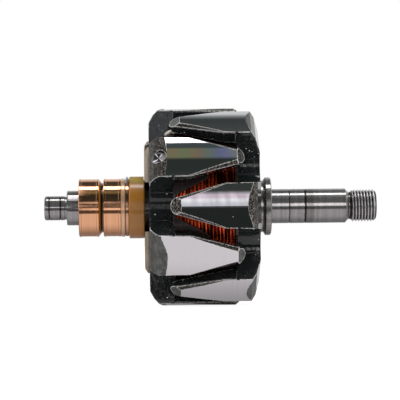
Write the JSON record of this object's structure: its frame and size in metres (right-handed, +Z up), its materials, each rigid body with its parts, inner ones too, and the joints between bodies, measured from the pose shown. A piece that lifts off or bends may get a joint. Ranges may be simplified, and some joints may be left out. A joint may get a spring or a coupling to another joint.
{
  "type": "alternator rotor",
  "caption": "Claw-pole rotor with interlocking fingers over a copper field coil, two slip rings at one end and a threaded shaft with a bearing seat at the other.",
  "frame": {"origin": "on the shaft's axis at the stop collar's bearing face, where the drive-end bearing seats", "axes": "+X along the shaft towards the drive end and its thread, +Z up, with one slip-ring-end finger pointing straight up"},
  "size_m": [0.164, 0.0972, 0.0972],
  "materials": {
    "shaft_steel": "ground and turned steel with bearing marks",
    "collar_steel": "turned steel",
    "pole_steel": "turned bright on the outside, glossy black varnish elsewhere",
    "core_steel": "plain steel",
    "former": "dark varnished insulation",
    "winding": "red enamelled copper wire",
    "moulding": "ochre moulded resin",
    "ring_copper": "polished copper with brush tracks",
    "band_resin": "cream resin over copper",
    "terminal_copper": "dull copper",
    "slot_resin": "grainy mustard potting resin",
    "plate": "tan insulating board",
    "spacer": "glossy black varnish",
    "sleeve": "woven sleeve",
    "tinned_wire": "soldered wire end"
  },
  "bodies": {
    "root": {"shaft": "shaft_steel", "stop_collar": "collar_steel", "drive_end_pole": "pole_steel", "slip_ring_end_pole": "pole_steel", "pole_core": "core_steel", "former_tube": "former", "drive_end_cheek": "former", "slip_ring_end_cheek": "former", "field_coil": "winding", "slip_ring_moulding": "moulding", "outer_slip_ring": "ring_copper", "inner_slip_ring": "ring_copper", "resin_band": "band_resin", "terminal_ring": "terminal_copper", "lead_slot_resin": "slot_resin", "lead_plate": "plate", "hub_spacer": "spacer", "front_lead": "sleeve", "rear_lead": "sleeve", "lead_tail": "tinned_wire"}
  },
  "joints": []
}
